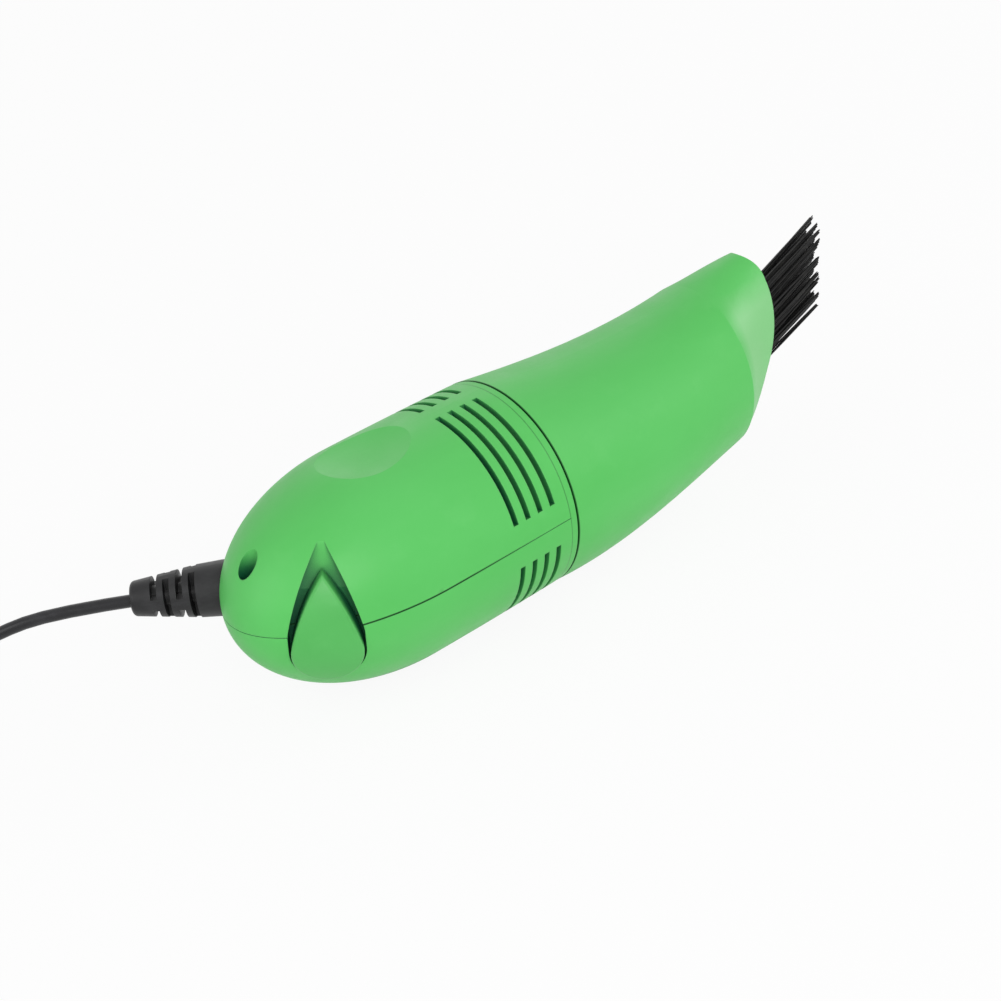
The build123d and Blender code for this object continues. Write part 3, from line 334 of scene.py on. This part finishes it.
def rubber(name, color, rough):
    """Soft rubber: open pores, smears from handling, lighter edges and painted shade in its
    crevices.
    """
    mat, tree, shader, place = start(name, color, rough, spec=0.4)
    rounded = soft_edges(tree, 0.0002)
    pore = noise(tree, place, 1500.0, 3.0, 0.6)
    smear = noise(tree, place, 220.0, 4.0, 0.6, (1.0, 1.0, 2.5))
    lighter = tuple(min(1.0, c * 2.1 + 0.006) for c in color)
    edge_lightening = edge_mask(tree, rounded)
    tone = mixed(tree, ranged(tree, smear, 0.48, 0.75, 0.0, 0.8), color, lighter)
    tone = mixed(tree, ranged(tree, edge_lightening, 0.0, 1.0, 0.0, 0.5), tone, lighter)
    # Painted shade: darker in gaps, grooves and recesses
    tone = mixed(tree, painted_crevice_shade(tree, 0.002), tone, tuple(c * 0.15 for c in color))
    link(tree, tone, shader.inputs["Base Color"])
    shine = ranged(tree, smear, 0.3, 0.7, rough - 0.08, rough + 0.1)
    link(tree, shine, shader.inputs["Roughness"])
    bumped(tree, shader, pore, 0.25, 0.00008, rounded)
    return mat


def metal(name, color, rough, stretch):
    """Rolled or turned metal, with fine lines along one direction and slight tarnish."""
    mat, tree, shader, place = start(name, color, rough, metal=1.0)
    rounded = soft_edges(tree, 0.00015)
    lines = noise(tree, place, 260.0, 6.0, 0.7, stretch)
    stain = noise(tree, place, 90.0, 4.0, 0.6)
    dull = tuple(c * 0.72 for c in color)
    tone = mixed(tree, ranged(tree, stain, 0.45, 0.75, 0.0, 0.7), color, dull)
    link(tree, tone, shader.inputs["Base Color"])
    shine = ranged(tree, lines, 0.3, 0.7, rough - 0.06, rough + 0.1)
    link(tree, shine, shader.inputs["Roughness"])
    bumped(tree, shader, lines, 0.12, 0.00005, rounded)
    return mat


def woven(name, color, pitch):
    """Filter cloth: threads both ways, with dust in them."""
    mat, tree, shader, place = start(name, color, 0.85, spec=0.25)
    waves = []
    for axis in ("Y", "Z"):
        wave_scale = 1 / (20 * pitch)
        values = {"Scale": wave_scale, "Distortion": 0.4}
        wave = node(tree, "ShaderNodeTexWave", values, bands_direction=axis)
        link(tree, place, wave.inputs["Vector"])
        waves.append(wave.outputs["Fac"])
    weave = reckoned(tree, "MAXIMUM", *waves)
    dust = noise(tree, place, 160.0, 4.0, 0.6)
    shade = tuple(c * 0.55 for c in color)
    tone = mixed(tree, weave, shade, color)
    tone = mixed(tree, ranged(tree, dust, 0.5, 0.8, 0.0, 0.6), tone, (0.32, 0.31, 0.29))
    link(tree, tone, shader.inputs["Base Color"])
    bumped(tree, shader, weave, 0.5, 0.0001)
    return mat


def hairy(name, color, deep, light):
    """Bristle nylon, streaked along its length."""
    mat, tree, shader, place = start(name, color, 0.40, spec=0.3)
    streak = noise(tree, place, 420.0, 3.0, 0.6, (1.0, 3.0, 3.0))
    tone = mixed(tree, ranged(tree, streak, 0.45, 0.75, 0.0, 0.7), deep, light)
    link(tree, tone, shader.inputs["Base Color"])
    link(tree, ranged(tree, streak, 0.3, 0.7, 0.32, 0.50), shader.inputs["Roughness"])
    bumped(tree, shader, streak, 0.2, 0.00003)
    return mat


# Lines of painted shade along the joints: axis, place on it, half width, strength, and fades along
# X
JOINT_SHADE_GREEN = (0.003, 0.085, 0.010)
SEAM_LINE = ("X", SEAM_X, 0.00024, 0.9)
RING_LINE = ("X", SEAM_X - 0.0019, 0.00013, 0.6)
PARTING_LINE = (
    "Z", AXIS_Z, 0.00024, 0.95,
    (((-0.042, 1.0), (-0.022, 0.0)), ((-0.0760, 0.0), (-0.0720, 1.0))),
)

# Colour, light tone, dark tone, roughness and the colour of the painted shade in the gaps
GREEN_CREVICE_SHADE = (0.006, 0.110, 0.048)
GREEN = (
    (0.108, 0.560, 0.124), (0.150, 0.600, 0.165), (0.090, 0.525, 0.104), 0.44, GREEN_CREVICE_SHADE,
)
green = moulded("green_plastic", *GREEN, spec=0.35, lines=(SEAM_LINE, RING_LINE))
# The nose's lip gets a painted highlight in this paler colour
nose_green = moulded(
    "green_plastic_nose", *GREEN, spec=0.35, lines=(SEAM_LINE,), lip=(0.360, 0.640, 0.350)
)
# A darker copy of the body green as painted shade on the button, with a wider painted edge
# highlight
shaded_button_green = moulded(
    "green_plastic_button_shaded",
    (0.092, 0.480, 0.106), (0.140, 0.560, 0.155), (0.078, 0.440, 0.090), 0.40, GREEN_CREVICE_SHADE,
    edge=0.0004, spec=0.4,
)
shell_green = moulded("green_plastic_shell", *GREEN, spec=0.35, lines=(PARTING_LINE, RING_LINE))
black = moulded(
    "black_plastic",
    (0.012, 0.012, 0.013), (0.042, 0.042, 0.044), (0.009, 0.009, 0.010), 0.42,
    (0.003, 0.003, 0.003),
)
white = moulded(
    "white_plastic",
    (0.74, 0.74, 0.71), (0.82, 0.82, 0.80), (0.68, 0.68, 0.64), 0.38, (0.30, 0.29, 0.26),
)
ceramic = moulded(
    "tan_ceramic",
    (0.42, 0.17, 0.035), (0.52, 0.25, 0.08), (0.34, 0.13, 0.03), 0.35, (0.10, 0.04, 0.01),
)
soft_black = rubber("black_rubber", (0.009, 0.009, 0.010), 0.44)
cable_black = rubber("cable_rubber", (0.009, 0.009, 0.011), 0.30)
soft_red = rubber("red_rubber", (0.32, 0.008, 0.008), 0.42)
steel = metal("steel", (0.60, 0.60, 0.61), 0.30, (1.0, 9.0, 9.0))
turned = metal("steel_turned", (0.58, 0.58, 0.60), 0.24, (12.0, 1.0, 1.0))
brass = metal("brass", (0.70, 0.52, 0.20), 0.26, (1.0, 7.0, 7.0))
cloth = woven("cloth", (0.62, 0.62, 0.59), 0.00035)
hair_mat = hairy("bristle", (0.008, 0.008, 0.008), (0.006, 0.006, 0.006), (0.024, 0.023, 0.021))

PAINT = {
    shell_green: ("upper_shell", "lower_shell"),
    green: ("collar_ring", "brush_socket"),
    nose_green: ("nose_cap",),
    shaded_button_green: ("switch_button",),
    black: (
        "air_guide", "filter_frame", "motor_end_cap", "switch_lever", "brush_holder", "cable_tie",
    ),
    white: ("impeller", "usb_tongue"),
    ceramic: ("motor_capacitor",),
    soft_black: ("cable_boot", "black_lead", "usb_body"),
    soft_red: ("red_lead", "bridge_lead"),
    steel: ("motor_plate", "motor_can", "switch_case", "usb_shell"),
    turned: ("shell_screw", "motor_screws", "motor_shaft"),
    brass: ("motor_terminals", "switch_pins", "usb_contacts"),
    cloth: ("filter_cloth",),
}
for material, names in PAINT.items():
    for name in names:
        slots = NODES[name].material_slots
        if slots:
            for s in slots:
                s.material = material
        else:
            NODES[name].data.materials.append(material)
cable_curve.materials.append(cable_black)

# ---------------------------------------------------------------- bristles
# The brush points along WAY, with OVER its upper side and ACROSS its width
TILT = math.radians(21.5)
FACE = Vector((SEAM_X + 0.058, 0, AXIS_Z - 0.00083))
WAY = Vector((math.cos(TILT), 0, math.sin(TILT)))
OVER = Vector((-math.sin(TILT), 0, math.cos(TILT)))
ACROSS = Vector((0, 1, 0))

# Tufts, set in rows inside an ellipse
TUFT_PITCH_ACROSS, TUFT_PITCH_OVER = 0.00185, 0.00158
TUFT_ROWS, TUFT_COLUMNS = range(-5, 6), range(-3, 4)
TUFT_HALF_WIDTH, TUFT_HALF_HEIGHT = 0.0042, 0.0074
TUFT_RADIUS = 0.00072
TUFT_LEAN_SPREAD = 0.0004
TUFT_CUT = 0.0010

HAIRS_PER_TUFT = 16
HAIR_RADIUS = 0.00015
HAIR_STEPS = 9
HAIR_ROOT = 0.0012
HAIR_LENGTH = 0.0362
HAIR_CUT = 0.0009
HAIR_HALF_WIDTH, HAIR_HALF_HEIGHT = 0.00435, 0.00755
GOLDEN_ANGLE = 2.39996
# The hairs stay inside the reach of the solid brush
FARTHEST_X, HIGHEST_Z = 0.0803, 0.0449

PAD_HALF_WIDTH, PAD_HALF_HEIGHT = 0.00435, 0.00745
PAD_SIDES = 40
# Depth of each ring of the backing, and how far it is drawn in
PAD_RINGS = ((-0.0024, 0.0), (-0.0013, 0.0), (-0.0012, 0.00012))

random.seed(7)


def tuft_places():
    """Across and over, for each tuft of the brush."""
    made = []
    for row in TUFT_ROWS:
        for column in TUFT_COLUMNS:
            a = (column + (row % 2) / 2) * TUFT_PITCH_ACROSS
            b = row * TUFT_PITCH_OVER
            if math.hypot(a / TUFT_HALF_WIDTH, b / TUFT_HALF_HEIGHT) <= 0.99:
                made.append((a, b))
    return made


def add_hair(curve, root, tip, length, bow):
    """One hair from its root to its tip, with a slight bow."""
    (root_a, root_b), (tip_a, tip_b), (bow_a, bow_b) = root, tip, bow
    s = curve.splines.new("POLY")
    s.points.add(HAIR_STEPS)
    for n, p in enumerate(s.points):
        t = n / HAIR_STEPS
        bend = math.sin(math.pi * t)
        across = root_a + (tip_a - root_a) * t + bow_a * bend
        over = root_b + (tip_b - root_b) * t ** 0.7 + bow_b * bend
        reach = -HAIR_ROOT + (length + HAIR_ROOT) * t
        co = FACE + WAY * reach + OVER * over + ACROSS * across
        p.co = (co.x, co.y, co.z, 1)
        p.radius = 1.0 if t < 0.95 else 0.7


def add_tuft(curve, a, b):
    """The hairs of one tuft, which leans and is cut a little differently from the next one."""
    lean_a = a * 0.07 - 0.0016 * max(0.0, b / TUFT_HALF_HEIGHT)
    lean_a += random.uniform(-TUFT_LEAN_SPREAD, TUFT_LEAN_SPREAD)
    lean_b = b * (0.18 if b > 0 else 0.26) + random.uniform(-TUFT_LEAN_SPREAD, TUFT_LEAN_SPREAD)
    tuft_cut = random.uniform(-TUFT_CUT, 0.0)
    for k in range(HAIRS_PER_TUFT):
        angle = k * GOLDEN_ANGLE
        ring = TUFT_RADIUS * math.sqrt((k + 0.5) / HAIRS_PER_TUFT)
        root_a, root_b = a + ring * math.cos(angle), b + ring * math.sin(angle)
        if math.hypot(root_a / HAIR_HALF_WIDTH, root_b / HAIR_HALF_HEIGHT) > 1:
            continue
        tip_ring = 0.45 + random.uniform(-0.25, 0.35)
        tip_a = a + lean_a + ring * tip_ring * math.cos(angle)
        tip_b = b + lean_b + ring * tip_ring * math.sin(angle)
        slant = 0.62 if tip_b > 0 else 0.50
        length = HAIR_LENGTH + slant * tip_b + 0.70 * tip_a + tuft_cut
        length += random.uniform(-HAIR_CUT, 0.0)
        length = min(
            length,
            (FARTHEST_X - FACE.x - OVER.x * tip_b) / WAY.x,
            (HIGHEST_Z - FACE.z - OVER.z * tip_b) / WAY.z,
        )
        bow = random.uniform(-0.00030, 0.00030), random.uniform(-0.0004, 0.0003)
        add_hair(curve, (root_a, root_b), (tip_a, tip_b), length, bow)


def pad_mesh():
    """The backing that the tufts stand in."""
    verts = []
    for depth, trim in PAD_RINGS:
        for k in range(PAD_SIDES):
            angle = 2 * math.pi * k / PAD_SIDES
            across = (PAD_HALF_WIDTH - trim) * math.cos(angle)
            over = (PAD_HALF_HEIGHT - trim) * math.sin(angle)
            verts.append(tuple(FACE + WAY * depth + ACROSS * across + OVER * over))
    faces = []
    for level in range(len(PAD_RINGS) - 1):
        low, high = level * PAD_SIDES, (level + 1) * PAD_SIDES
        for k in range(PAD_SIDES):
            n = (k + 1) % PAD_SIDES
            faces.append((low + k, low + n, high + n, high + k))
    faces.append(tuple(reversed(range(PAD_SIDES))))
    faces.append(tuple(range(2 * PAD_SIDES, 3 * PAD_SIDES)))
    made = bpy.data.meshes.new("bristle_pad")
    made.from_pydata(verts, [], faces)
    return made


hair = bpy.data.curves.new("bristle_lines", "CURVE")
hair.dimensions = "3D"
hair.bevel_depth = HAIR_RADIUS
hair.bevel_resolution = 1
hair.use_fill_caps = True
for a, b in tuft_places():
    add_tuft(hair, a, b)
hair.materials.append(hair_mat)
hair_obj = placed("brush_bristles", hair)

pad = pad_mesh()
pad.materials.append(black)
pad_obj = placed("bristle_backing", pad)
for piece in (hair_obj, pad_obj):
    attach(piece, "brush")
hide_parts("bristles")

# ---------------------------------------------------------------- floor, world and lamps
WHITE = (1, 1, 1, 1)
FLOOR_HALF = 6.0
# The floor lies just under the part, so that no face of the part lies in it
FLOOR_Z = -0.0002


def camera_share(tree, share):
    """The share for camera, glossy and transmission rays, and 0 for the rest."""
    path = node(tree, "ShaderNodeLightPath").outputs
    value = path["Is Camera Ray"]
    for other in ("Is Glossy Ray", "Is Transmission Ray"):
        value = reckoned(tree, "MAXIMUM", value, path[other])
    return reckoned(tree, "MULTIPLY", value, share)


def show_to_camera(tree, share, lighting, seen, output):
    """Joins a shader that lights the part with one that the camera sees."""
    blend = node(tree, "ShaderNodeMixShader")
    link(tree, camera_share(tree, share), blend.inputs[0])
    link(tree, lighting.outputs[0], blend.inputs[1])
    link(tree, seen.outputs[0], blend.inputs[2])
    link(tree, blend.outputs[0], tree.nodes[output].inputs["Surface"])


floor_mesh = bpy.data.meshes.new("floor")
corners = [
    (-FLOOR_HALF, -FLOOR_HALF, 0), (FLOOR_HALF, -FLOOR_HALF, 0),
    (FLOOR_HALF, FLOOR_HALF, 0), (-FLOOR_HALF, FLOOR_HALF, 0),
]
floor_mesh.from_pydata(corners, [], [(0, 1, 2, 3)])
floor = placed("floor", floor_mesh)
floor.location = (0, 0, FLOOR_Z)
floor_mat = bpy.data.materials.new("floor_white")
floor_mat.use_nodes = True
tree = floor_mat.node_tree
shader = tree.nodes["Principled BSDF"]
shader.inputs["Base Color"].default_value = (0.90, 0.90, 0.90, 1)
shader.inputs["Roughness"].default_value = 0.9
shader.inputs["Specular IOR Level"].default_value = 0.1
glow = node(tree, "ShaderNodeEmission", {"Color": WHITE, "Strength": 1.0})
show_to_camera(tree, 0.92, shader, glow, "Material Output")
floor_mesh.materials.append(floor_mat)

world = bpy.data.worlds.new("studio")
bpy.context.scene.world = world
world.use_nodes = True
tree = world.node_tree
sky = tree.nodes["Background"]
sky.inputs["Color"].default_value = WHITE
sky.inputs["Strength"].default_value = 0.50
bright = node(tree, "ShaderNodeBackground", {"Color": WHITE, "Strength": 1.0})
show_to_camera(tree, 1.0, sky, bright, "World Output")

# Name, place, diameter and power of each lamp
LAMP_AIM = Vector((0, 0, 0.02))
LAMPS = (
    ("key", (-0.36, -0.72, 0.44), 0.5, 3.5),
    ("fill", (-0.85, 0.10, 0.40), 0.6, 1.15),
    ("side", (0.75, -0.28, 0.20), 0.4, 1.5),
    ("back", (0.45, 0.65, 0.45), 0.6, 0.6),
)
for name, at, size, energy in LAMPS:
    light = bpy.data.lights.new(name, "AREA")
    light.shape = "DISK"
    light.size = size
    light.energy = energy
    lamp = placed(name, light)
    lamp.location = at
    lamp.rotation_euler = (LAMP_AIM - Vector(at)).to_track_quat("-Z", "Y").to_euler()

bpy.context.scene.view_settings.view_transform = "Standard"
